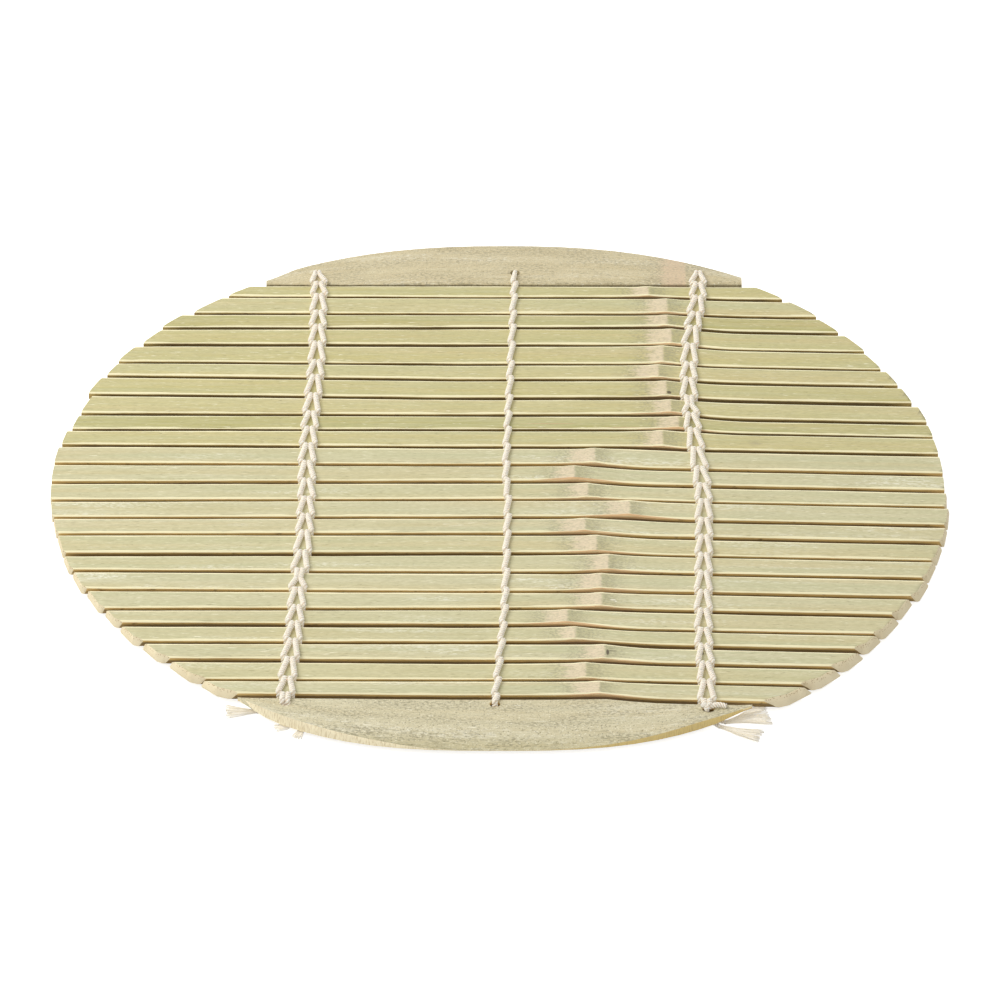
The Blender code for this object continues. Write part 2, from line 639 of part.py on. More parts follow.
def build():
    for obj in list(bpy.data.objects):
        bpy.data.objects.remove(obj)
    bamboo = material("bamboo", (0.60, 0.56, 0.30), 0.5)
    pale_bamboo = material("pale_bamboo", (0.58, 0.50, 0.33), 0.55)
    cotton = material("cotton_string", (0.86, 0.82, 0.74), 0.9)

    mat_empty = bpy.data.objects.new("steamer_mat", None)
    bpy.context.collection.objects.link(mat_empty)
    mat_empty.location = (0, -(RADIUS - NEAR_REACH) / 2, 0)

    near_mesh = end_slat_mesh("near_end_slat", SLAT_COUNT + 1, NEAR_TIP_WIDTH, rolled_ring)
    near_end = add_object("near_end_slat", near_mesh, pale_bamboo, mat_empty)
    drill(near_end, [near_hole(row) for row in (LEFT_ROW, MIDDLE_ROW, RIGHT_ROW)], mat_empty)

    # each slat hangs on the fold line on its near side, and carries the slats beyond it
    parent = near_end
    for index in range(SLAT_COUNT, 0, -1):
        origin = Vector((0, hinge_y(index), Z_HINGE))
        parent = add_object(f"slat_{index:02d}", slat_mesh(index), bamboo, parent, origin)
    far_mesh = end_slat_mesh("far_end_slat", 0, FAR_TIP_WIDTH,
                             lambda x, near, far, from_tip: slat_ring(x, near, far))
    far_end = add_object("far_end_slat", far_mesh, pale_bamboo, parent,
                         Vector((0, hinge_y(0), Z_HINGE)))
    drill(far_end, [far_hole(row) for row in (LEFT_ROW, MIDDLE_ROW, RIGHT_ROW)], mat_empty)

    for row_name, row, waist_slat in (("left", LEFT_ROW, LEFT_WAIST_SLAT),
                                      ("right", RIGHT_ROW, RIGHT_WAIST_SLAT)):
        for side_name, side in (("left", -1), ("right", 1)):
            name = f"{row_name}_row_{side_name}_string"
            stations = string_stations(row, side * INNER_LINE, side * OUTER_LINE, side, waist_slat,
                                       side * WAIST_LINE, tied_on_top=row_name == "right")
            add_object(name, string_mesh(name, stations), cotton, near_end)
    stations = string_stations(MIDDLE_ROW, MIDDLE_LINE, -MIDDLE_LINE, 0)
    add_object("middle_row_string", string_mesh("middle_row_string", stations), cotton, near_end)

    add_knot("left_end_knot", LEFT_ROW, LEFT_TAILS, cotton, near_end)
    add_knot("middle_end_knot", MIDDLE_ROW, (), cotton, near_end)
    add_knot("right_end_knot", RIGHT_ROW, RIGHT_TAILS, cotton, near_end)
    add_top_knot("right_top_knot", RIGHT_ROW, cotton, near_end)


build()
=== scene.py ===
import math
import random

import bmesh
import bpy
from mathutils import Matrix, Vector, kdtree, noise


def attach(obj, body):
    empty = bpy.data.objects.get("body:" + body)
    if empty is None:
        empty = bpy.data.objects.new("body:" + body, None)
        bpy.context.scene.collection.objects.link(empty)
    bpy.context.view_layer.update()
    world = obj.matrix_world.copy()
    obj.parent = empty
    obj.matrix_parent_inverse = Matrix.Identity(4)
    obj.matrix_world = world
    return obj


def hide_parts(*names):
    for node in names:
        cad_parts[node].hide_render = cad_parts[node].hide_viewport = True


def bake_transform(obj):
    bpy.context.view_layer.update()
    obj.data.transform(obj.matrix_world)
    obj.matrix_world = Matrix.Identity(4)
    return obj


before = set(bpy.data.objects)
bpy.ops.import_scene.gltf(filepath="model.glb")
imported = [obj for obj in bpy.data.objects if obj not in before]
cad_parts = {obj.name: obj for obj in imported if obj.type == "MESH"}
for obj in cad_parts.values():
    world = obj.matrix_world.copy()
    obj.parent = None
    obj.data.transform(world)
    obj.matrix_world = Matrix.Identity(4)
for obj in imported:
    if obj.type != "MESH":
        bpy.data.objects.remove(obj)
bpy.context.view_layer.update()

MM = 0.001
SKIN_HEIGHT = 3.7 * MM


# The stage: a white sheet under the mat, soft daylight from all sides and one large lamp at the
# upper left. The camera stands in front of the mat and looks down at it along +Y.
AIM = Vector((0, -0.00185, 0.0037))
CAMERA_HEIGHT_ANGLE = math.radians(34.39)
CAMERA_DISTANCE = 1.8
LAMP_PLACE = Vector((-0.75, 0.1, 0.95))
SKY_LIGHT = 0.62
SHEET_SIZE = 6.0
SHEET_HEIGHT = -0.1 * MM
SHEET_GLOW = 0.75

camera_data = bpy.data.cameras.new("camera")
camera_data.sensor_width = 36
camera_data.lens = 241.8
camera_data.shift_x = 0.0013
camera_data.shift_y = -0.0155
camera = bpy.data.objects.new("camera", camera_data)
bpy.context.collection.objects.link(camera)
camera.location = AIM + CAMERA_DISTANCE * Vector(
    (0, -math.cos(CAMERA_HEIGHT_ANGLE), math.sin(CAMERA_HEIGHT_ANGLE)))
camera.rotation_euler = (math.pi / 2 - CAMERA_HEIGHT_ANGLE, 0, 0)
bpy.context.scene.camera = camera
bpy.context.scene.view_settings.view_transform = "Standard"


def add(tree, kind, values=None, **settings):
    """Adds a shader node. Each value is a number or colour, or another node's output."""
    made = tree.nodes.new(kind)
    for key, value in settings.items():
        setattr(made, key, value)
    for key, value in (values or {}).items():
        if isinstance(value, bpy.types.NodeSocket):
            tree.links.new(value, made.inputs[key])
        else:
            made.inputs[key].default_value = value
    return made


def calc(tree, operation, *values):
    """A Math node's output."""
    made = add(tree, "ShaderNodeMath", dict(enumerate(values)), operation=operation)
    return made.outputs[0]


world = bpy.data.worlds.new("daylight")
world.use_nodes = True
bpy.context.scene.world = world
sky = world.node_tree
background = sky.nodes["Background"]
rays = add(sky, "ShaderNodeLightPath")
seen = calc(sky, "MAXIMUM", rays.outputs["Is Glossy Ray"], rays.outputs["Is Transmission Ray"])
seen = calc(sky, "MAXIMUM", rays.outputs["Is Camera Ray"], seen)
sky.links.new(calc(sky, "ADD", SKY_LIGHT, calc(sky, "MULTIPLY", seen, 1 - SKY_LIGHT)),
              background.inputs["Strength"])
background.inputs["Color"].default_value = (1, 1, 1, 1)

lamp_data = bpy.data.lights.new("window", "AREA")
lamp_data.shape = "RECTANGLE"
lamp_data.size = 0.9
lamp_data.size_y = 0.7
lamp_data.energy = 9.2
lamp_data.color = (1.0, 0.985, 0.955)
lamp = bpy.data.objects.new("window", lamp_data)
bpy.context.collection.objects.link(lamp)
lamp.location = LAMP_PLACE
lamp.rotation_euler = (AIM - LAMP_PLACE).to_track_quat("-Z", "Y").to_euler()

sheet = bmesh.new()
bmesh.ops.create_grid(sheet, x_segments=1, y_segments=1, size=SHEET_SIZE)
sheet_mesh = bpy.data.meshes.new("white_sheet")
sheet.to_mesh(sheet_mesh)
sheet.free()
white_sheet = bpy.data.objects.new("white_sheet", sheet_mesh)
bpy.context.collection.objects.link(white_sheet)
white_sheet.location.z = SHEET_HEIGHT
sheet_paint = bpy.data.materials.new("white_sheet")
sheet_paint.use_nodes = True
tree = sheet_paint.node_tree
shader = tree.nodes["Principled BSDF"]
shader.inputs["Base Color"].default_value = (0.82, 0.82, 0.82, 1)
shader.inputs["Roughness"].default_value = 0.9
shader.inputs["Specular IOR Level"].default_value = 0.1
shader.inputs["Emission Color"].default_value = (1, 1, 1, 1)
rays = add(tree, "ShaderNodeLightPath")
tree.links.new(calc(tree, "MULTIPLY", rays.outputs["Is Camera Ray"], SHEET_GLOW),
               shader.inputs["Emission Strength"])
sheet_mesh.materials.append(sheet_paint)


# The bamboo itself. Fibres run along the cane, so colour changes in long streaks and short dark
# flecks. These groups paint them from a piece's own grain coordinates, in millimetres: along the
# cane, across it, and down from the skin.
def new_group(name, inputs, outputs):
    group = bpy.data.node_groups.new(name, "ShaderNodeTree")
    for socket, kind in inputs:
        group.interface.new_socket(socket, in_out="INPUT", socket_type=f"NodeSocket{kind}")
    for socket in outputs:
        group.interface.new_socket(socket, in_out="OUTPUT", socket_type="NodeSocketFloat")
    return group, group.nodes.new("NodeGroupInput").outputs, group.nodes.new("NodeGroupOutput")


def stretched(tree, place, scale, seed):
    """Noise drawn out along the grain. Seed moves it to another part of the cane."""
    moved = add(tree, "ShaderNodeVectorMath", {0: place, 1: scale}, operation="MULTIPLY")
    made = add(tree, "ShaderNodeTexNoise", {"Vector": moved.outputs[0], "W": seed, "Scale": 1.0,
                                            "Detail": 3.0, "Roughness": 0.55},
               noise_dimensions="4D")
    return made.outputs["Fac"]


def ramp(tree, value, low, high, start=0.0, end=1.0):
    """A smooth step of value from low to high."""
    made = add(tree, "ShaderNodeMapRange",
               {"Value": value, "From Min": low, "From Max": high, "To Min": start, "To Max": end},
               interpolation_type="SMOOTHSTEP")
    return made.outputs["Result"]


fibres, given, result = new_group(
    "bamboo_fibres", [("Grain", "Vector"), ("Seed", "Float")],
    ["Streaks", "Warmth", "Threads", "Mottle", "Flecks", "Scratches", "Worn"])
seed = calc(fibres, "MULTIPLY", given["Seed"], 7.3)
for socket, scale, shift, low, high in (
        ("Streaks", (0.012, 0.5, 0.3), 0.0, 0.32, 0.68),
        ("Warmth", (0.009, 0.3, 0.3), 11.0, 0.42, 0.7),
        ("Threads", (0.06, 2.6, 1.2), 2.3, 0.28, 0.72),
        ("Mottle", (0.55, 2.6, 1.0), 5.9, 0.25, 0.75),
        ("Flecks", (0.4, 3.4, 1.0), 3.7, 0.6, 0.72),
        ("Scratches", (0.3, 3.6, 1.0), 17.0, 0.61, 0.72)):
    grown = stretched(fibres, given["Grain"], scale, calc(fibres, "ADD", seed, shift))
    fibres.links.new(ramp(fibres, grown, low, high), result.inputs[socket])
worn = stretched(fibres, given["Grain"], (0.02, 0.22, 0.2), calc(fibres, "ADD", seed, 23.0))
dashes = stretched(fibres, given["Grain"], (0.7, 3.0, 1.0), calc(fibres, "ADD", seed, 29.0))
worn = calc(fibres, "MULTIPLY", ramp(fibres, worn, 0.5, 0.66), ramp(fibres, dashes, 0.46, 0.6))
fibres.links.new(worn, result.inputs["Worn"])

# Up to 7 mm before a node the skin is scraped down to bare wood, with a ragged start. Dark specks
# lie around it, and past the crest of the node there is a soft shade.
scar, given, result = new_group(
    "bamboo_node", [("Grain", "Vector"), ("Seed", "Float")],
    ["Bare wood", "Specks", "Ridge", "Shade"])
apart = add(scar, "ShaderNodeSeparateXYZ", {0: given["Grain"]}).outputs
seed = calc(scar, "MULTIPLY", given["Seed"], 5.1)
ragged = stretched(scar, given["Grain"], (0.12, 1.1, 1.0), seed)
torn = stretched(scar, given["Grain"], (0.5, 3.2, 1.0), calc(scar, "ADD", seed, 4.0))
own = stretched(scar, (0.3, 0.4, 0.2), (1.0, 1.0, 1.0), seed)
reach = apart[0]
for wander, most in ((ragged, 7.0), (torn, 7.0), (own, 12.0)):
    wander = calc(scar, "MULTIPLY", calc(scar, "SUBTRACT", wander, 0.5), most)
    reach = calc(scar, "ADD", reach, wander)
left = ramp(scar, reach, -7.0, -3.6)
right = ramp(scar, calc(scar, "ADD", apart[0], calc(scar, "MULTIPLY", torn, 1.6)), 0.4, 1.1)
bare = calc(scar, "MULTIPLY", left, calc(scar, "SUBTRACT", 1.0, right))
bare = calc(scar, "MULTIPLY", bare, ramp(scar, torn, 0.3, 0.62, 0.55, 1.0))
scar.links.new(bare, result.inputs["Bare wood"])
pits = stretched(scar, given["Grain"], (1.3, 2.6, 1.0), calc(scar, "ADD", seed, 9.0))
near_node = calc(scar, "MULTIPLY", ramp(scar, reach, -13.0, -6.0), ramp(scar, reach, 9.5, 1.5))
covered = calc(scar, "SUBTRACT", 1.0, calc(scar, "MULTIPLY", bare, 0.6))
near_node = calc(scar, "MULTIPLY", near_node, covered)
specks = calc(scar, "MULTIPLY", ramp(scar, pits, 0.49, 0.56), near_node)
scar.links.new(specks, result.inputs["Specks"])
crest = ramp(scar, calc(scar, "ABSOLUTE", calc(scar, "ADD", apart[0], 0.5)), 1.6, 0.0)
scar.links.new(crest, result.inputs["Ridge"])
shade = calc(scar, "MULTIPLY", ramp(scar, apart[0], -0.2, 0.6), ramp(scar, apart[0], 5.5, 0.8))
scar.links.new(shade, result.inputs["Shade"])


def blend_colour(tree, amount, below, above):
    made = add(tree, "ShaderNodeMix", {0: amount, 6: below, 7: above}, data_type="RGBA")
    return made.outputs[2]


def new_material(name, roughness):
    material = bpy.data.materials.new(name)
    material.use_nodes = True
    shader = material.node_tree.nodes["Principled BSDF"]
    shader.inputs["Roughness"].default_value = roughness
    return material, material.node_tree, shader.inputs


def use_group(tree, group, **values):
    made = add(tree, "ShaderNodeGroup", node_tree=group)
    for key, value in values.items():
        tree.links.new(value, made.inputs[key])
    return made.outputs


def painted(tree, ground, layers):
    """Lays colours over the ground, each as (where, strength, colour)."""
    for where, strength, colour in layers:
        ground = blend_colour(tree, calc(tree, "MULTIPLY", where, strength), ground, colour)
    return ground


def bump(tree, height, strength, distance):
    made = add(tree, "ShaderNodeBump", {"Height": height, "Strength": strength,
                                        "Distance": distance})
    return made.outputs["Normal"]


def attribute(tree, name):
    return add(tree, "ShaderNodeAttribute", attribute_name=name).outputs


def cane(tree):
    """A cane's grain coordinates, its number and its fibres, for a material."""
    grain = attribute(tree, "grain")["Vector"]
    number = attribute(tree, "slat")["Fac"]
    return grain, number, use_group(tree, fibres, Grain=grain, Seed=number)


# Single marks on the skin, each as (X, Y, half its length, half its width) in millimetres: dark
# knots and a crack, a pale scratch, a smudge, and pink lines where a fibre was torn out.
DARK_MARKS = ((46.6, 42.6, 0.7, 0.7), (28.2, -78.9, 0.45, 1.4), (52.6, -79.2, 0.45, 0.8),
              (53.9, 23.9, 0.7, 0.45), (29.5, -78.2, 1.3, 0.16), (105.4, 36.9, 1.2, 0.2))
PALE_MARKS = ((29.9, -55.3, 0.9, 0.3), (30.6, -55.9, 0.4, 0.25))
SMUDGES = ((69.3, 18.0, 2.6, 1.6), (44.0, 38.6, 2.4, 0.8), (49.0, 27.0, 2.0, 1.2))
PINK_MARKS = ((38.0, 25.6, 13.0, 0.35), (14.0, 27.4, 9.0, 0.2), (-60.0, 25.2, 16.0, 0.2))
marks, given, result = new_group(
    "single_marks", [("Place", "Vector")], ["Dark", "Pale", "Smudge", "Pink"])
for socket, spots in (("Dark", DARK_MARKS), ("Pale", PALE_MARKS), ("Smudge", SMUDGES),
                      ("Pink", PINK_MARKS)):
    rough = stretched(marks, given["Place"], (900.0, 2500.0, 0.0), 3.0)
    found = 0.0
    inner = 0.2 if socket == "Smudge" else 1.0
    for x, y, half_length, half_width in spots:
        middle = (x / 1000, y / 1000, 0)
        offset = add(marks, "ShaderNodeVectorMath", {0: given["Place"], 1: middle},
                     operation="SUBTRACT").outputs[0]
        per_size = (1000 / half_length, 1000 / half_width, 0)
        sized = add(marks, "ShaderNodeVectorMath", {0: offset, 1: per_size},
                    operation="MULTIPLY").outputs[0]
        far = add(marks, "ShaderNodeVectorMath", {0: sized}, operation="LENGTH").outputs["Value"]
        far = calc(marks, "ADD", far, calc(marks, "MULTIPLY", rough, 0.8))
        found = calc(marks, "MAXIMUM", found, ramp(marks, far, 1.5, inner))
    marks.links.new(found, result.inputs[socket])

# Slat skin: the green outside of the cane, dried to olive yellow, shaved off along both long
# edges, and scraped down to pink wood at the node. The pale strips along both long edges are
# partly that shaved skin and partly a painted highlight.
OLIVE = (0.58, 0.505, 0.195, 1)
STRAW = (0.65, 0.61, 0.395, 1)
DULL_OLIVE = (0.41, 0.37, 0.09, 1)
slat_skin, tree, shader = new_material("slat_skin", 0.5)
grain, slat_number, fibre = cane(tree)
node_mark = use_group(tree, scar, Grain=grain, Seed=slat_number)
paleness = attribute(tree, "paleness")["Fac"]
edges = add(tree, "ShaderNodeSeparateXYZ", {0: attribute(tree, "edges")["Vector"]}).outputs
mark = use_group(tree, marks, Place=add(tree, "ShaderNodeTexCoord").outputs["Object"])
ground = painted(tree, blend_colour(tree, paleness, OLIVE, STRAW), (
    (ramp(tree, paleness, 0.0, -0.6), 0.85, DULL_OLIVE),
    (fibre["Streaks"], 0.5, (0.48, 0.50, 0.27, 1)),
    (fibre["Warmth"], 0.5, (0.66, 0.52, 0.25, 1)),
    (fibre["Threads"], 0.34, (0.84, 0.79, 0.53, 1)),
    (fibre["Mottle"], 0.42, (0.39, 0.35, 0.17, 1)),
    (fibre["Flecks"], 0.7, (0.26, 0.22, 0.10, 1)),
    (fibre["Scratches"], 0.8, (0.98, 0.94, 0.72, 1)),
    (calc(tree, "MULTIPLY", fibre["Worn"], paleness), 0.65, (0.88, 0.86, 0.70, 1)),
    (node_mark["Shade"], 0.4, (0.40, 0.37, 0.19, 1)),
    (node_mark["Bare wood"], 0.92, (0.81, 0.67, 0.47, 1)),
    (node_mark["Specks"], 0.5, (0.33, 0.30, 0.19, 1)),
    (mark["Pale"], 0.8, (0.90, 0.86, 0.72, 1)),
    (mark["Pink"], 0.5, (0.62, 0.34, 0.19, 1)),
    (mark["Smudge"], 0.45, (0.30, 0.25, 0.16, 1)),
    (mark["Dark"], 0.9, (0.08, 0.055, 0.03, 1))))
# Painted highlight: the pale strips of shaved skin along both long edges are brightened, the far
# one set 0.4 mm in from its edge.
edge_strip_width = calc(tree, "ADD", 0.3, calc(tree, "MULTIPLY", fibre["Threads"], 0.3))
to_edge = calc(tree, "MINIMUM", edges[0], calc(tree, "SUBTRACT", edges[1], 0.4))
shaved_edge_and_highlight = ramp(tree, calc(tree, "DIVIDE", to_edge, edge_strip_width), 1.1, 0.85)
ground = painted(tree, ground, [(shaved_edge_and_highlight, 0.95, (1.0, 0.93, 0.62, 1))])
past = add(tree, "ShaderNodeSeparateXYZ", {0: grain}).outputs[0]
torn = calc(tree, "MULTIPLY", ramp(tree, calc(tree, "ABSOLUTE", past), 17.0, 0.0),
            calc(tree, "ADD", edges[2], calc(tree, "MULTIPLY", fibre["Threads"], 0.15)))
torn = ramp(tree, calc(tree, "DIVIDE", edges[0], calc(tree, "ADD", torn, 0.001)), 1.15, 0.7)
ground = painted(tree, ground, [(torn, 0.8, (0.66, 0.36, 0.15, 1))])
tree.links.new(ground, shader["Base Color"])
tree.links.new(ramp(tree, fibre["Threads"], 0.0, 1.0, 0.42, 0.6), shader["Roughness"])
relief = calc(tree, "ADD", calc(tree, "MULTIPLY", fibre["Mottle"], 0.5),
              calc(tree, "SUBTRACT", node_mark["Ridge"], node_mark["Specks"]))
relief = calc(tree, "SUBTRACT", relief, mark["Dark"])
tree.links.new(bump(tree, relief, 0.6, 0.08 * MM), shader["Normal"])

# Split side: the raw face along a slat where the cane was split, tan, and beside the node torn
# and orange. Just under the skin a cream strip is painted light, and further down into the gap
# it is darkened by painted shadow, most of all on the olive slats, whose gaps are narrower.
split_side, tree, shader = new_material("split_side", 0.7)
grain, _, fibre = cane(tree)
paleness = attribute(tree, "paleness")["Fac"]
place = add(tree, "ShaderNodeSeparateXYZ", {0: grain}).outputs
ground = blend_colour(tree, paleness, (0.58, 0.43, 0.14, 1), (0.72, 0.49, 0.17, 1))
orange = calc(tree, "MULTIPLY", ramp(tree, place[0], -13.0, -2.0), ramp(tree, place[0], 14.0, 3.0))
ground = painted(tree, ground, (
    (fibre["Threads"], 0.35, (0.66, 0.48, 0.25, 1)),
    (fibre["Flecks"], 0.6, (0.14, 0.08, 0.03, 1)),
    (orange, 0.75, (0.74, 0.48, 0.25, 1))))
depth = calc(tree, "ADD", place[2], calc(tree, "MULTIPLY", fibre["Threads"], 0.2))
# Painted light: the top of the side, just under the skin, is lit cream.
ground = blend_colour(tree, ramp(tree, depth, 0.7, 0.45), ground, (0.95, 0.82, 0.48, 1))
# Painted shadow deep in the gap: it starts higher on the olive slats, whose gaps are narrower, and
# is weaker near the slat's ends, where the gap is open.
painted_shade_depth = calc(tree, "MULTIPLY", calc(tree, "SUBTRACT", 1.0, paleness), 0.42)
painted_shade_depth = calc(tree, "ADD", depth, painted_shade_depth)
shadow = calc(tree, "MULTIPLY", ramp(tree, painted_shade_depth, 0.92, 1.4, 0.0, 0.74),
              ramp(tree, attribute(tree, "to_end")["Fac"], 0.5, 7.0, 0.25, 1.0))
ground = blend_colour(tree, shadow, ground, (0.07, 0.04, 0.01, 1))
tree.links.new(ground, shader["Base Color"])
tree.links.new(bump(tree, fibre["Threads"], 0.6, 0.1 * MM), shader["Normal"])

# Inner face: the pale pith side of the cane, planed flat, which lies on the basket.
inner_face, tree, shader = new_material("inner_face", 0.65)
fibre = cane(tree)[2]
ground = blend_colour(tree, fibre["Threads"], (0.66, 0.55, 0.34, 1), (0.80, 0.70, 0.47, 1))
ground = painted(tree, ground, [(fibre["Flecks"], 0.5, (0.50, 0.37, 0.19, 1))])
tree.links.new(ground, shader["Base Color"])
tree.links.new(bump(tree, fibre["Threads"], 0.5, 0.08 * MM), shader["Normal"])

# Sawn end: cream, with the cut fibre bundles as brown dots, densest under the skin.
sawn_end, tree, shader = new_material("sawn_end", 0.75)
place = add(tree, "ShaderNodeTexCoord").outputs["Object"]
depth = add(tree, "ShaderNodeSeparateXYZ", {0: attribute(tree, "grain")["Vector"]}).outputs[2]
bundles = add(tree, "ShaderNodeTexVoronoi", {"Vector": place, "Scale": 2000.0})
dots = ramp(tree, bundles.outputs["Distance"], 0.42, 0.22)
dots = calc(tree, "MULTIPLY", dots, ramp(tree, depth, 1.3, 0.2, 0.05, 0.8))
cloudy = add(tree, "ShaderNodeTexNoise", {"Vector": place, "Scale": 260.0, "Detail": 3.0})
ground = blend_colour(tree, cloudy.outputs["Fac"], (0.76, 0.64, 0.40, 1), (0.92, 0.82, 0.58, 1))
ground = blend_colour(tree, dots, ground, (0.42, 0.29, 0.12, 1))
tree.links.new(ground, shader["Base Color"])
tree.links.new(bump(tree, dots, 0.4, 0.1 * MM), shader["Normal"])


# Slats 1 to 24: split from cane, 2.4 mm thick, planed below, with eased upper edges and one
# bamboo node each. Every slat was sawn to the mat's circle after lacing, and the nearer a slat
# lies, the more its ends slant. Slat 1 is at the far end.
NODE_PLACES = (42, 47, 47, 48, 45.5, 44, 46, 47, 49, 44.5, 26, 20.5,
               24, 35, 23, 26, 29, 27, 27, 18, 20, 27.5, 22.5, 26)
DULL_SLATS = {1: -0.3, 3: -0.5, 4: -0.35, 9: -0.4, 10: -0.1}
PALE_SLATS = {2: 0.1, 18: 0.3}
TORN_SLATS = {8: 0.3, 9: 0.35, 12: 0.6, 14: 0.4, 15: 0.3, 16: 0.25, 17: 0.2, 18: 0.2, 20: 0.3}
OLIVE_SLATS = 10
OLIVE_PALENESS = 0.06
STRAW_PALENESS = 0.85
SLATS_WITH_UPRIGHT_ENDS = 12
SAWN_END_LENGTH = 16 * MM
SKIN_DEPTH = 0.42 * MM
INNER_FACE_TOP = 1.4 * MM
CORNER_WIDTH = 0.1 * MM
# How the long edges waver, as (how often, how far in millimetres).
EDGE_WAVERS = ((0.045, 0.14), (0.3, 0.05))
# The finishes of a piece of cane, and the lines of its two sides by slat number.
SKIN, SPLIT, INNER, SAWN = 0, 1, 2, 3
edges_of = {}


def merged_copy(name):
    """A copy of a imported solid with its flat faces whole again."""
    shape = bmesh.new()
    shape.from_mesh(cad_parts[name].data)
    bmesh.ops.remove_doubles(shape, verts=shape.verts, dist=0.002 * MM)
    bmesh.ops.dissolve_limit(shape, angle_limit=math.radians(0.5), verts=shape.verts,
                             edges=shape.edges)
    return shape


def round_corners(shape, width):
    """Rounds the long corners of a piece of cane."""
    corners = [edge for edge in shape.edges
               if len(edge.link_faces) == 2 and edge.calc_face_angle() > math.radians(14)
               and abs(edge.verts[0].co.x - edge.verts[1].co.x) > 0.9 * edge.calc_length()]
    bmesh.ops.bevel(shape, geom=corners, offset=width, offset_type="OFFSET", segments=2,
                    profile=0.5, affect="EDGES", material=-1, clamp_overlap=True)


def saw_aslant(shape, side, setback, corner):
    """Saws a slat's end again, so that its upper edge lies setback further in than its lower, and
    takes its near corner off."""
    low = min(vertex.co.z for vertex in shape.verts)
    cut = [face for face in shape.faces if abs(face.normal.z) < 0.2 and side * face.normal.x > 0.2]
    outward = sum((face.normal * face.calc_area() for face in cut), Vector()).normalized()
    feet = [vertex.co for face in cut for vertex in face.verts if vertex.co.z < low + 0.3 * MM]
    near = min(feet, key=lambda place: place.y).copy()
    middle = sum(feet, Vector()) / len(feet)
    corner_out = (outward + Vector((0, -1, 0))).normalized()
    for place, facing in ((middle + outward * 0.15 * MM, outward),
                          (near - corner_out * corner, corner_out)):
        slope = facing * (SKIN_HEIGHT - low) + Vector((0, 0, setback))
        bmesh.ops.bisect_plane(shape, geom=shape.verts[:] + shape.edges[:] + shape.faces[:],
                               dist=0.0001 * MM, plane_co=place, plane_no=slope.normalized(),
                               clear_outer=True)
        bmesh.ops.contextual_create(shape, geom=[edge for edge in shape.edges if edge.is_boundary])


def slice_across(shape, step):
    """Cuts a piece of cane into short lengths, so that it can bend and swell."""
    low = min(vertex.co.x for vertex in shape.verts)
    high = max(vertex.co.x for vertex in shape.verts)
    stations = []
    count = int((high - low) / step)
    for i in range(1, count):
        x = low + (high - low) * i / count
        bmesh.ops.bisect_plane(shape, geom=shape.verts[:] + shape.edges[:] + shape.faces[:],
                               dist=0.0001 * MM, plane_co=(x, 0, 0), plane_no=(1, 0, 0))
        stations.append(x)
    return stations


def side_lines(shape, stations, steepest):
    """(X, near Y, far Y) of a slat at each station between its askew ends. At those ends a side
    moves by steepest or more from one station to the next."""
    rows = {x: [] for x in stations}
    for vertex in shape.verts:
        x = min(stations, key=lambda station: abs(station - vertex.co.x))
        if abs(x - vertex.co.x) < 0.01 * MM:
            rows[x].append(vertex.co.y)
    lines = [(x, min(rows[x]), max(rows[x])) for x in stations if len(rows[x]) > 3]
    turns = [max(abs(a[1] - b[1]), abs(a[2] - b[2])) for a, b in zip(lines, lines[1:])]
    first = last = len(lines) // 2
    while first > 1 and turns[first - 1] < steepest:
        first -= 1
    while last < len(lines) - 2 and turns[last] < steepest:
        last += 1
    return lines[first:last + 1]


def eased(lines, reach):
    """The same lines with their bends rounded over reach stations on both sides."""
    made = []
    for i, (x, _, _) in enumerate(lines):
        span = min(reach, i, len(lines) - 1 - i)
        part = lines[i - span:i + span + 1]
        made.append((x, sum(line[1] for line in part) / len(part),
                     sum(line[2] for line in part) / len(part)))
    return made


def sides_at(lines, x):
    """(near Y, far Y) of a slat at x. Past the last station the sides run straight on."""
    k = 0
    while k < len(lines) - 2 and lines[k + 1][0] < x:
        k += 1
    (x0, near0, far0), (x1, near1, far1) = lines[k], lines[k + 1]
    t = (x - x0) / (x1 - x0)
    return near0 + (near1 - near0) * t, far0 + (far1 - far0) * t


def finish_cane(shape, name, number, node_x, lines, paleness, torn, finishes, finish_of):
    """Makes the shaped cane an object, with its grain coordinates and its four finishes."""
    mesh = bpy.data.meshes.new(name)
    shape.normal_update()
    for face in shape.faces:
        face.material_index = finish_of(face)
        face.smooth = True
    shape.to_mesh(mesh)
    shape.free()
    mesh.set_sharp_from_angle(angle=math.radians(32))
    grain, edges = [], []
    for vertex in mesh.vertices:
        near, far = sides_at(lines, vertex.co.x)
        grain += [(vertex.co.x - node_x) / MM, (vertex.co.y - (near + far) / 2) / MM,
                  (SKIN_HEIGHT - vertex.co.z) / MM]
        edges += [(vertex.co.y - near) / MM, (far - vertex.co.y) / MM, torn]
    for key, values in (("grain", grain), ("edges", edges)):
        mesh.attributes.new(key, "FLOAT_VECTOR", "POINT").data.foreach_set("vector", values)
    places = [vertex.co.x / MM for vertex in mesh.vertices]
    left, right = min(places), max(places)
    to_end = [min(x - left, right - x) for x in places]
    for key, values in (("to_end", to_end), ("slat", [float(number)] * len(places)),
                        ("paleness", [paleness] * len(places))):
        mesh.attributes.new(key, "FLOAT", "POINT").data.foreach_set("value", values)
    for material in finishes:
        mesh.materials.append(material)
    piece = bpy.data.objects.new(name, mesh)
    bpy.context.collection.objects.link(piece)
    return piece


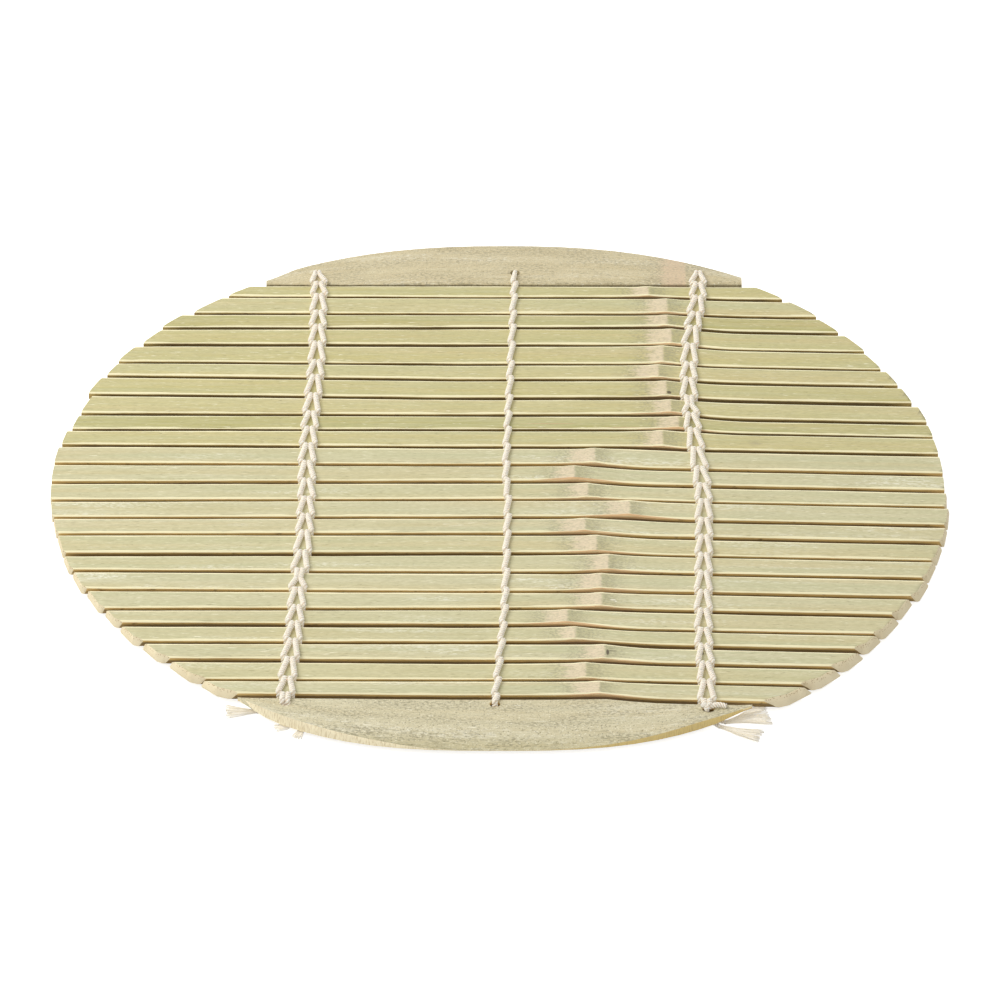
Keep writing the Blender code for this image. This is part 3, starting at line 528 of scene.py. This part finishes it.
def slat_finish(face, first, last):
    """Which finish a slat's face has. Near first and last it was sawn askew."""
    place = face.calc_center_median()
    by_end = min(place.x - first, last - place.x) < SAWN_END_LENGTH
    if by_end and abs(face.normal.z) < 0.8 and abs(face.normal.x) > 0.22:
        return SAWN
    if place.z > SKIN_HEIGHT - SKIN_DEPTH:
        return SKIN
    return INNER if place.z < INNER_FACE_TOP else SPLIT


def end_slat_finish(face, lines, outer):
    """Which finish an end slat's face has. Its outer side was sawn to the arc. The side that
    the far one turns to the viewer gets the skin finish as painted light: lighter than split
    cane, so that the gap beside it shows no dark line."""
    place = face.calc_center_median()
    near, far = sides_at(lines, place.x)
    sawn = (place.y - (near + far) / 2) * outer > 0
    if face.normal.z > (0.55 if sawn else 0.35):
        return SKIN
    if face.normal.z < -0.6:
        return INNER
    if sawn:
        return SAWN
    # Painted light: the far one's side toward the viewer takes the lighter skin finish.
    return SPLIT if outer < 0 else SKIN


def crest_height(past):
    """How high the skin swells at a node, in millimetres: a ridge before it and a low one after."""
    ridge = 0.12 * math.exp(-((past + 1.1) / 1.5) ** 2)
    return ridge + 0.06 * math.exp(-((past - 2.6) / 0.9) ** 2)


chance = random.Random(24)
for number in range(1, 25):
    name = f"slat_{number:02d}"
    node_x = NODE_PLACES[number - 1] * MM
    shape = merged_copy(name)
    if number > SLATS_WITH_UPRIGHT_ENDS:
        lower = (number - SLATS_WITH_UPRIGHT_ENDS) / (24 - SLATS_WITH_UPRIGHT_ENDS)
        saw_aslant(shape, -1, (0.2 + 0.7 * lower) * MM, (0.1 + 0.6 * lower) * MM)
        saw_aslant(shape, 1, (0.5 + 1.4 * lower) * MM, (0.1 + 0.8 * lower) * MM)
    round_corners(shape, CORNER_WIDTH)
    stations = slice_across(shape, 1.5 * MM)
    drawn = side_lines(shape, stations, 0.4 * MM)
    lines = eased(drawn, 3)
    edges_of[number] = lines
    for vertex in shape.verts:
        old_near, old_far = sides_at(drawn, vertex.co.x)
        near, far = sides_at(lines, vertex.co.x)
        across = (vertex.co.y - old_near) / (old_far - old_near)
        x = vertex.co.x / MM
        for scale, size in EDGE_WAVERS:
            near += size * MM * noise.noise(Vector((x * scale, number * 3.1, 0.5)))
            far += size * MM * noise.noise(Vector((x * scale, number * 3.1, 7.5)))
        vertex.co.y = near + (far - near) * across
        if vertex.co.z > SKIN_HEIGHT - 0.8 * MM:
            waver = 0.03 * noise.noise(Vector((x * 0.08, number, 2.2)))
            vertex.co.z += MM * (crest_height((vertex.co.x - node_x) / MM) + waver)
    paleness = OLIVE_PALENESS if number <= OLIVE_SLATS else STRAW_PALENESS
    paleness += DULL_SLATS.get(number, 0) + PALE_SLATS.get(number, 0) + chance.uniform(-0.22, 0.22)
    slat = finish_cane(shape, f"{name}_cane", number, node_x, lines, paleness,
                       TORN_SLATS.get(number, 0.1), (slat_skin, split_side, inner_face, sawn_end),
                       lambda face: slat_finish(face, stations[0], stations[-1]))
    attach(slat, f"{name}_body")
    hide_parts(name)


# The end slats: two wide segments of a thicker cane. They kept their weathered beige skin, which
# is rougher and flecked with grey. Three holes are drilled through each for the strings.
end_skin, tree, shader = new_material("end_slat_skin", 0.55)
grain, slat_number, fibre = cane(tree)
node_mark = use_group(tree, scar, Grain=grain, Seed=slat_number)
ground = blend_colour(tree, attribute(tree, "paleness")["Fac"], (0.635, 0.525, 0.31, 1),
                      (0.66, 0.605, 0.41, 1))
scuffs = stretched(tree, grain, (0.9, 2.4, 1.0), 31.0)
patches = stretched(tree, grain, (0.05, 0.22, 1.0), 47.0)
scuffs = calc(tree, "MULTIPLY", ramp(tree, scuffs, 0.48, 0.6), ramp(tree, patches, 0.4, 0.6))
flecks = ramp(tree, stretched(tree, grain, (2.0, 2.4, 1.0), 59.0), 0.56, 0.66)
glints = ramp(tree, stretched(tree, grain, (1.8, 2.6, 1.0), 71.0), 0.56, 0.68)
aged = ramp(tree, slat_number, 0.0, 25.0, 0.75, 1.0)
# Painted shade: the skin darkens where it rolls down from the top and turns away from the light.
rolled_edge_shade = ramp(tree, add(tree, "ShaderNodeSeparateXYZ", {0: grain}).outputs[2], 0.35, 2.0)
ground = painted(tree, ground, (
    (fibre["Warmth"], 0.45, (0.64, 0.50, 0.25, 1)),
    (fibre["Threads"], 0.36, (0.86, 0.80, 0.57, 1)),
    (fibre["Mottle"], 0.36, (0.40, 0.36, 0.20, 1)),
    (fibre["Flecks"], 0.75, (0.19, 0.16, 0.09, 1)),
    (calc(tree, "MULTIPLY", flecks, aged), 0.8, (0.20, 0.165, 0.09, 1)),
    (calc(tree, "MULTIPLY", glints, aged), 0.6, (1.0, 0.97, 0.80, 1)),
    (fibre["Scratches"], 0.8, (0.97, 0.93, 0.74, 1)),
    (fibre["Worn"], 0.5, (0.90, 0.87, 0.72, 1)),
    (rolled_edge_shade, 0.35, (0.47, 0.42, 0.20, 1)),
    (calc(tree, "MULTIPLY", scuffs, aged), 0.7, (0.29, 0.255, 0.15, 1)),
    (node_mark["Bare wood"], 0.85, (0.72, 0.55, 0.37, 1)),
    (node_mark["Specks"], 0.55, (0.30, 0.26, 0.18, 1))))
tree.links.new(ground, shader["Base Color"])
relief = calc(tree, "SUBTRACT", calc(tree, "MULTIPLY", fibre["Mottle"], 0.5), scuffs)
tree.links.new(bump(tree, relief, 0.6, 0.08 * MM), shader["Normal"])

# Their sawn rim: cut fibres show as fine upright streaks. On the near one it turns darker, golden
# brown, towards the right.
sawn_rim, tree, shader = new_material("sawn_rim", 0.75)
place = add(tree, "ShaderNodeTexCoord").outputs["Object"]
streaks = stretched(tree, place, (4200.0, 1500.0, 300.0), 3.0)
along = add(tree, "ShaderNodeSeparateXYZ", {0: place}).outputs[0]
golden = calc(tree, "MULTIPLY", ramp(tree, along, -10 * MM, 30 * MM),
              ramp(tree, attribute(tree, "slat")["Fac"], 20.0, 25.0))
ground = blend_colour(tree, golden, (0.93, 0.83, 0.58, 1), (0.80, 0.62, 0.25, 1))
ground = painted(tree, ground, [(ramp(tree, streaks, 0.46, 0.66), 0.5, (0.50, 0.36, 0.16, 1))])
tree.links.new(ground, shader["Base Color"])
tree.links.new(bump(tree, streaks, 0.5, 0.1 * MM), shader["Normal"])

# The far one narrows towards its left tip, and the near one's right tip reaches further out.
FAR_TIP_START = -56 * MM
FAR_TIP_LENGTH = 10 * MM
FAR_TIP_THINNING = 0.6
FAR_TIP_NEAR_SIDE = 98.1 * MM
NEAR_TIP_START = 50 * MM
NEAR_TIP_LENGTH = 12 * MM
NEAR_TIP_REACH = 2.6 * MM
for name, number, node_x, paleness, body, outer in (
        ("far_end_slat", 0, 52.5 * MM, 0.15, "far_end", 1),
        ("near_end_slat", 25, 150 * MM, 0.85, "near_end", -1)):
    shape = merged_copy(name)
    stations = slice_across(shape, 4 * MM)
    if number == 0:
        for vertex in shape.verts:
            t = min(1.0, max(0.0, (FAR_TIP_START - vertex.co.x) / FAR_TIP_LENGTH))
            width = 1 - FAR_TIP_THINNING * t ** 1.5
            vertex.co.y = FAR_TIP_NEAR_SIDE + (vertex.co.y - FAR_TIP_NEAR_SIDE) * width
    else:
        for vertex in shape.verts:
            t = max(0.0, (vertex.co.x - NEAR_TIP_START) / NEAR_TIP_LENGTH)
            vertex.co.x += NEAR_TIP_REACH * t ** 1.5
    lines = side_lines(shape, stations, 20 * MM)
    edges_of[number] = lines
    end_slat = finish_cane(shape, f"{name}_cane", number, node_x, lines, paleness, 0.0,
                           (end_skin, split_side, inner_face, sawn_rim),
                           lambda face: end_slat_finish(face, lines, outer))
    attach(end_slat, body)
    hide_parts(name)


# The lacing: five soft cotton strings, each of three yarns twisted together, folded in half
# through the far holes. Their halves cross in every gap, one going up and the other down. Each
# stretch runs from the middle of one slat to the middle of the next, through the gap between them.
cotton, tree, shader = new_material("cotton_yarn", 0.95)
place = add(tree, "ShaderNodeTexCoord").outputs["Object"]
lint = add(tree, "ShaderNodeTexNoise", {"Vector": place, "Scale": 4200.0, "Detail": 4.0,
                                        "Roughness": 0.7}).outputs["Fac"]
stain = add(tree, "ShaderNodeTexNoise", {"Vector": place, "Scale": 90.0, "Detail": 2.0})
ground = blend_colour(tree, ramp(tree, lint, 0.38, 0.56), (0.76, 0.69, 0.56, 1),
                      (1.0, 0.97, 0.88, 1))
# The grooves between the three yarns are darkened: painted shade.
ground = painted(tree, ground, (
    (ramp(tree, stain.outputs["Fac"], 0.45, 0.75), 0.3, (0.92, 0.83, 0.74, 1)),
    (attribute(tree, "groove")["Fac"], 0.85, (0.58, 0.47, 0.33, 1))))
tree.links.new(ground, shader["Base Color"])
# Painted light: the yarn glows faintly in its own colour, which brightens the strings' shaded
# sides.
tree.links.new(ground, shader["Emission Color"])
shader["Emission Strength"].default_value = 0.19
shader["Sheen Weight"].default_value = 0.3
shader["Subsurface Weight"].default_value = 0.35
shader["Subsurface Radius"].default_value = (1.0, 0.85, 0.7)
shader["Subsurface Scale"].default_value = 0.6 * MM
tree.links.new(bump(tree, lint, 0.8, 0.15 * MM), shader["Normal"])

YARN_RADIUS = 0.74 * MM
GROOVE_TOP = 0.99
GROOVE_DEPTH = 0.2
TWIST_LENGTH = 2.4 * MM
TWIST_STEP = 0.25 * MM
HIGH = SKIN_HEIGHT + 0.64 * MM
LOW = 0.72 * MM
MID_CANE = 2.4 * MM
GAP_SQUEEZE = 0.8
CROSSING_SIZE = 1.12
MID_SLAT_SIZE = 1.08
CUT_CENTRE = -1.85 * MM
FAR_HOLE_Y = 105.3 * MM + CUT_CENTRE
NEAR_HOLE_MARGIN = 2.3 * MM
# Each row's line, as (Y from the centre of the cut, X) in millimetres from its far hole on.
ROWS = {
    "left": ((106, -51), (97, -50.2), (58, -50.1), (26, -51.3), (10.5, -51.6), (-8, -51.3),
             (-25, -51.5), (-36, -52), (-45, -52.6), (-55, -52.7), (-71, -53.3), (-84, -54.1),
             (-100, -54.8)),
    "middle": ((106, 4.6), (61, 3.4), (12, 2), (2, 2), (-8, 2.5), (-25, 2.2), (-42, 1.9),
               (-58, 1.5), (-68, 1), (-83, 0), (-100, -1)),
    "right": ((106, 56), (93, 55.7), (85, 54.9), (70, 53), (60, 52.5), (46, 51.9), (37, 52.1),
              (29, 52.5), (20, 53), (11, 53.8), (-5, 54.8), (-22, 54.5), (-40, 53.9), (-56, 53.4),
              (-73, 53.1), (-90, 53.4), (-102, 53.2)),
}

outline = bpy.data.curves.new("three_yarns", "CURVE")
outline.dimensions = "3D"
lobes = outline.splines.new("POLY")
lobes.points.add(11)
for i, point in enumerate(lobes.points):
    turn = 2 * math.pi * i / 12
    swell = 1.0 if i % 4 == 2 else (0.92 if i % 2 else 0.7)
    point.co = (YARN_RADIUS * swell * math.cos(turn), YARN_RADIUS * swell * math.sin(turn), 0, 1)
lobes.use_cyclic_u = True
yarn_section = bpy.data.objects.new("three_yarns", outline)
bpy.context.collection.objects.link(yarn_section)
yarn_section.hide_render = True


def row_x(row, y):
    """X of a row's line at y."""
    points = [(a * MM + CUT_CENTRE, b * MM) for a, b in ROWS[row]]
    if y >= points[0][0]:
        return points[0][1]
    for (y0, x0), (y1, x1) in zip(points, points[1:]):
        if y >= y1:
            return x0 + (x1 - x0) * (y0 - y) / (y0 - y1)
    return points[-1][1]


def gap_y(gap, x):
    """Y of the middle of a gap at x. Gap 0 is beside the far end slat."""
    return (sides_at(edges_of[gap], x)[0] + sides_at(edges_of[gap + 1], x)[1]) / 2


def gap_width(gap, x):
    return sides_at(edges_of[gap], x)[0] - sides_at(edges_of[gap + 1], x)[1]


def near_hole(row):
    """(X, Y) of a row's hole in the near end slat, a margin away from the slat's far side."""
    y = sides_at(edges_of[25], row_x(row, -100 * MM))[1] - NEAR_HOLE_MARGIN
    return row_x(row, y), y


def crossing(x, y, squeeze, rising):
    """Stations, each (place, size), of a strand that goes through the gap at y."""
    first, last = (LOW, HIGH) if rising else (HIGH, LOW)
    lift = (0.5 if rising else -0.5) * MM
    return [(Vector((x, y + away * MM, z)), size) for away, z, size in (
        (0.75, first, CROSSING_SIZE), (0.35, first, CROSSING_SIZE),
        (0.15, first + lift, squeeze), (-0.15, last - lift, squeeze),
        (-0.35, last, CROSSING_SIZE), (-0.75, last, CROSSING_SIZE))]


def from_far_hole(x, high):
    """Stations of a strand from the middle of its far hole on, over the slat or below it."""
    level = HIGH if high else LOW
    return [(Vector((x, FAR_HOLE_Y + away * MM, z)), size) for away, z, size in (
        (0.1, MID_CANE, 0.75), (0.1, (3.6 if high else 1.2) * MM, 0.75),
        (-0.3, level, 0.85), (-1.4, level, 0.95))]


def to_near_hole(row, side, high):
    """Stations of a strand up to its near hole. Above, the right row's strands end in the top
    knot and the other rows' go down through the hole."""
    if not high:
        steps = [(0.8, 1.2, LOW, 0.9)]
    elif row == "right":
        steps = [(0.55, 0.9, HIGH, 0.9)]
    else:
        steps = [(0.68, 0.7, HIGH, 1.1), (0.68, 0.1, HIGH - 0.1 * MM, 1.1),
                 (0.68, -0.1, MID_CANE, 1.1)]
    x, y = near_hole(row)
    return [(Vector((x + side * apart * MM, y + away * MM, z)), size)
            for apart, away, z, size in steps]


def on_slat(passes, number, row, side, waist_slat):
    """The station of a strand on the middle of a slat, close to the row's line where pinched."""
    place = passes[number - 1][-1][0].lerp(passes[number][0][0], 0.5)
    if number == waist_slat and place.z > SKIN_HEIGHT:
        place.x = row_x(row, place.y) + side * 0.5 * MM
    return place, MID_SLAT_SIZE


def smooth(stations, rounds):
    """Rounds the corners of a route by cutting them off again and again."""
    for _ in range(rounds):
        cut = [stations[0]]
        for (a, size_a), (b, size_b) in zip(stations, stations[1:]):
            cut.append((a.lerp(b, 0.25), size_a + (size_b - size_a) * 0.25))
            cut.append((a.lerp(b, 0.75), size_a + (size_b - size_a) * 0.75))
        stations = cut + [stations[-1]]
    return stations


def measured(stations, step):
    """Even points along a route, each with its distance from the start."""
    legs = [(b[0] - a[0]).length for a, b in zip(stations, stations[1:])]
    length = sum(legs)
    count = max(2, round(length / step))
    made, walked, k = [], 0.0, 0
    for i in range(count + 1):
        goal = length * i / count
        while k < len(legs) - 1 and walked + legs[k] < goal:
            walked += legs[k]
            k += 1
        (a, size_a), (b, size_b) = stations[k], stations[k + 1]
        t = min(1.0, (goal - walked) / max(legs[k], 1e-9))
        made.append((a.lerp(b, t), size_a + (size_b - size_a) * t, goal))
    return made


def add_grooves(mesh, routes):
    """Marks how deep each point lies in the grooves between a strand's three yarns."""
    middles = [(place, size) for route in routes for place, size, _ in route]
    found = kdtree.KDTree(len(middles))
    for i, (place, _) in enumerate(middles):
        found.insert(place, i)
    found.balance()
    grooves = []
    for vertex in mesh.vertices:
        _, i, away = found.find(vertex.co)
        out = away / (middles[i][1] * YARN_RADIUS)
        grooves.append(min(1.0, max(0.0, (GROOVE_TOP - out) / GROOVE_DEPTH)))
    mesh.attributes.new("groove", "FLOAT", "POINT").data.foreach_set("value", grooves)


def sweep(name, routes, finish, section=None, thickness=0.0):
    """One mesh around routes of (point, size, tilt)."""
    curve = bpy.data.curves.new(name, "CURVE")
    curve.dimensions = "3D"
    curve.twist_mode = "Z_UP"
    curve.use_fill_caps = True
    if section:
        curve.bevel_mode = "OBJECT"
        curve.bevel_object = section
    else:
        curve.bevel_depth = thickness
        curve.bevel_resolution = 0
    for route in routes:
        spline = curve.splines.new("POLY")
        spline.points.add(len(route) - 1)
        for point, (place, size, tilt) in zip(spline.points, route):
            point.co = (*place, 1)
            point.radius = size
            point.tilt = tilt
    holder = bpy.data.objects.new(name, curve)
    bpy.context.collection.objects.link(holder)
    bpy.context.view_layer.update()
    seen = holder.evaluated_get(bpy.context.evaluated_depsgraph_get())
    shape = bmesh.new()
    shape.from_mesh(seen.to_mesh())
    seen.to_mesh_clear()
    bpy.data.objects.remove(holder)
    bmesh.ops.remove_doubles(shape, verts=shape.verts, dist=0.001 * MM)
    bmesh.ops.recalc_face_normals(shape, faces=shape.faces)
    for face in shape.faces:
        face.smooth = len(face.verts) <= 4
    mesh = bpy.data.meshes.new(name)
    shape.to_mesh(mesh)
    shape.free()
    if section:
        add_grooves(mesh, routes)
    mesh.materials.append(finish)
    piece = bpy.data.objects.new(name, mesh)
    bpy.context.collection.objects.link(piece)
    return piece


def twisted(stations, turned=0.0):
    """A strand's route with the twist of its yarns. Returns the twist at its end as well."""
    points = measured(smooth(stations, 3), TWIST_STEP)
    rate = 2 * math.pi / TWIST_LENGTH
    route = [(place, size, turned + rate * far) for place, size, far in points]
    return route, route[-1][2] % (2 * math.pi)


# Each string: its row, how far from the row's line it rises and dives in millimetres, its side
# of the row, and the slat over which the row is pinched (0 for none).
STRINGS = {
    "left_row_left_string": ("left", -0.66, -1.86, -1, 18),
    "left_row_right_string": ("left", 0.66, 1.8, 1, 18),
    "middle_row_string": ("middle", 0.45, -0.45, 0, 0),
    "right_row_left_string": ("right", -0.72, -1.8, -1, 8),
    "right_row_right_string": ("right", 0.72, 1.8, 1, 8),
}
stretches = {gap: [] for gap in range(25)}
for row, rise_line, dive_line, side, waist_slat in STRINGS.values():
    for first_dive in (0, 1):
        passes = []
        for gap in range(25):
            rising = (gap - first_dive) % 2 == 1
            x = row_x(row, gap_y(gap, row_x(row, 0))) + (rise_line if rising else dive_line) * MM
            y = gap_y(gap, x)
            squeeze = min(GAP_SQUEEZE, (gap_width(gap, x) - 0.2 * MM) / (2 * YARN_RADIUS))
            passes.append(crossing(x, y, squeeze, rising))
        turned = 0.0
        for gap in range(25):
            if gap:
                stations = [on_slat(passes, gap, row, side, waist_slat)]
            else:
                hole_x = row_x(row, FAR_HOLE_Y) + side * 0.55 * MM
                stations = from_far_hole(hole_x, passes[0][0][0].z > SKIN_HEIGHT)
            stations += passes[gap]
            if gap < 24:
                stations.append(on_slat(passes, gap + 1, row, side, waist_slat))
            else:
                stations += to_near_hole(row, side, stations[-1][0].z > SKIN_HEIGHT)
            route, turned = twisted(stations, turned)
            stretches[gap].append(route)

for gap, routes in stretches.items():
    lacing = sweep(f"lacing_over_gap_{gap:02d}", routes, cotton, yarn_section)
    middle = (gap_y(gap, -50 * MM) + gap_y(gap, 50 * MM)) / 2
    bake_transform(lacing)
    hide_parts(*STRINGS)


# The knots: under the near end slat each row is tied in one flat knot. The cut ends stick out
# from below it and have frayed into fans of loose fibres, two at the right and three at the left.
loose_cotton, tree, shader = new_material("frayed_cotton", 1.0)
shader["Base Color"].default_value = (1.0, 0.94, 0.80, 1)
# Painted light: the loose fibres glow faintly, which brightens the fans.
shader["Emission Color"].default_value = (1.0, 0.93, 0.80, 1)
shader["Emission Strength"].default_value = 0.11
shader["Subsurface Weight"].default_value = 0.6
shader["Subsurface Radius"].default_value = (1.0, 0.9, 0.8)
shader["Subsurface Scale"].default_value = 1.5 * MM


def knot_route(x, y, z, length, width, height, size):
    """Stations of a flat overhand knot."""
    stations = []
    for i in range(29):
        t = -0.15 + 1.3 * i / 28
        a = 2 * math.pi * t
        stations.append((Vector((
            x + length / 2 * (0.62 * math.sin(a) + 0.55 * math.sin(2 * a)),
            y + width / 2 * (0.62 * math.cos(a) - 0.55 * math.cos(2 * a)),
            z - height / 2 * math.sin(3 * a))), size))
    return stations


def frayed(start, route, width, count, chance):
    """Loose fibres that fan out of a cut end. The route is in millimetres from start."""
    places = [start + Vector(point) * MM for point in route]
    fibres = []
    for _ in range(count):
        across = chance.uniform(-1, 1)
        lift = chance.uniform(0, 1)
        end = 1.0 - 0.05 * abs(chance.gauss(0, 1))
        bow = chance.gauss(0, 0.12)
        strand = []
        for i in range(7):
            t = end * i / 6
            k = min(int(t * (len(places) - 1)), len(places) - 2)
            local = t * (len(places) - 1) - k
            centre = places[k].lerp(places[k + 1], local)
            along = (places[k + 1] - places[k]).normalized()
            side = Vector((-along.y, along.x, 0))
            spread = (0.35 + (width / 2 - 0.35) * t ** 1.3) * MM
            place = centre + side * spread * (across + bow * math.sin(3.0 * t))
            place.z = max(0.12 * MM, centre.z + (lift - 0.5) * (0.5 + 0.5 * t) * MM)
            strand.append((place, 1.0 - 0.3 * t, 0.0))
        fibres.append(strand)
    return fibres


# row: (knot, its cut ends), each end as (route in millimetres from the hole, width of its fan,
# share of the route before it frays).
KNOTS = {
    "left": ("left_end_knot", (
        (((-1, 0.2, 0.6), (-7.2, 0.4, 0.6), (-11, 0.2, 0.6), (-15.4, 0.2, 0.6)), 5.6, 0.4),
        (((1, -0.6, 0.5), (2.7, -4.4, 0.5), (0.4, -6.4, 0.5), (-2.6, -6.9, 0.5)), 2.6, 0.5),
        (((2, -0.4, 0.5), (4.6, -5.4, 0.5), (4.2, -8.4, 0.5), (3.2, -10.8, 0.5)), 3.0, 0.5))),
    "middle": ("middle_end_knot", ()),
    "right": ("right_end_knot", (
        (((1, 0.2, 0.6), (5, -1.4, 0.6), (10.5, 0.6, 0.7), (16.0, 1.9, 1.0)), 9.6, 0.3),
        (((1, -0.6, 0.5), (3.4, -3.2, 0.5), (8.6, -5.4, 0.5), (14.0, -7.2, 0.6)), 5.4, 0.3))),
}
FIBRE_RADIUS = 0.13 * MM
FEWEST_FIBRES = 20
FIBRES_PER_MM = 9
chance = random.Random(7)
for row, (node, tails) in KNOTS.items():
    x, y = near_hole(row)
    routes = [twisted(knot_route(x, y, 0.6 * MM, 4.6 * MM, 2.6 * MM, 0.3 * MM, 0.72))[0]]
    fibres_out = []
    start = Vector((x, y, 0))
    for route, width, fray_from in tails:
        places = [start + Vector(point) * MM for point in route]
        cord_end = max(1, int(fray_from * 3))
        stations = [(place, 0.85) for place in places[:cord_end + 1]]
        routes.append(twisted(stations)[0])
        loose = [tuple(v) for v in ((place - start) / MM for place in places[cord_end:])]
        count = FEWEST_FIBRES + int(FIBRES_PER_MM * width)
        fibres_out += frayed(start, loose, width, count, chance)
    knot = sweep(f"{node}_yarn", routes, cotton, yarn_section)
    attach(knot, "near_end")
    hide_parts(node)
    if fibres_out:
        fan = sweep(f"{node}_frayed_ends", fibres_out, loose_cotton, thickness=FIBRE_RADIUS)
        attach(fan, "near_end")

# The top knot: the right row's last strands are tied in a small ball over their hole, and one
# short end lies beside it.
x, y = near_hole("right")
ball = knot_route(x, y + 0.1 * MM, SKIN_HEIGHT + 0.8 * MM, 2.2 * MM, 1.7 * MM, 0.7 * MM, 0.85)
stub = [(Vector((x + dx * MM, y + dy * MM, SKIN_HEIGHT + dz * MM)), size) for dx, dy, dz, size in (
    (0.8, 0.2, 0.7, 0.9), (2.2, 0.9, 0.75, 1.05), (3.6, 1.0, 0.7, 1.05), (5.0, 0.5, 0.6, 0.9))]
neck = [(Vector((x, y - 0.1 * MM, z * MM)), 0.9) for z in (1.2, 2.4, 4.2)]
top_knot = sweep("right_top_knot_yarn", [twisted(ball)[0], twisted(stub)[0], twisted(neck)[0]],
                 cotton, yarn_section)
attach(top_knot, "near_end")
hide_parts("right_top_knot")
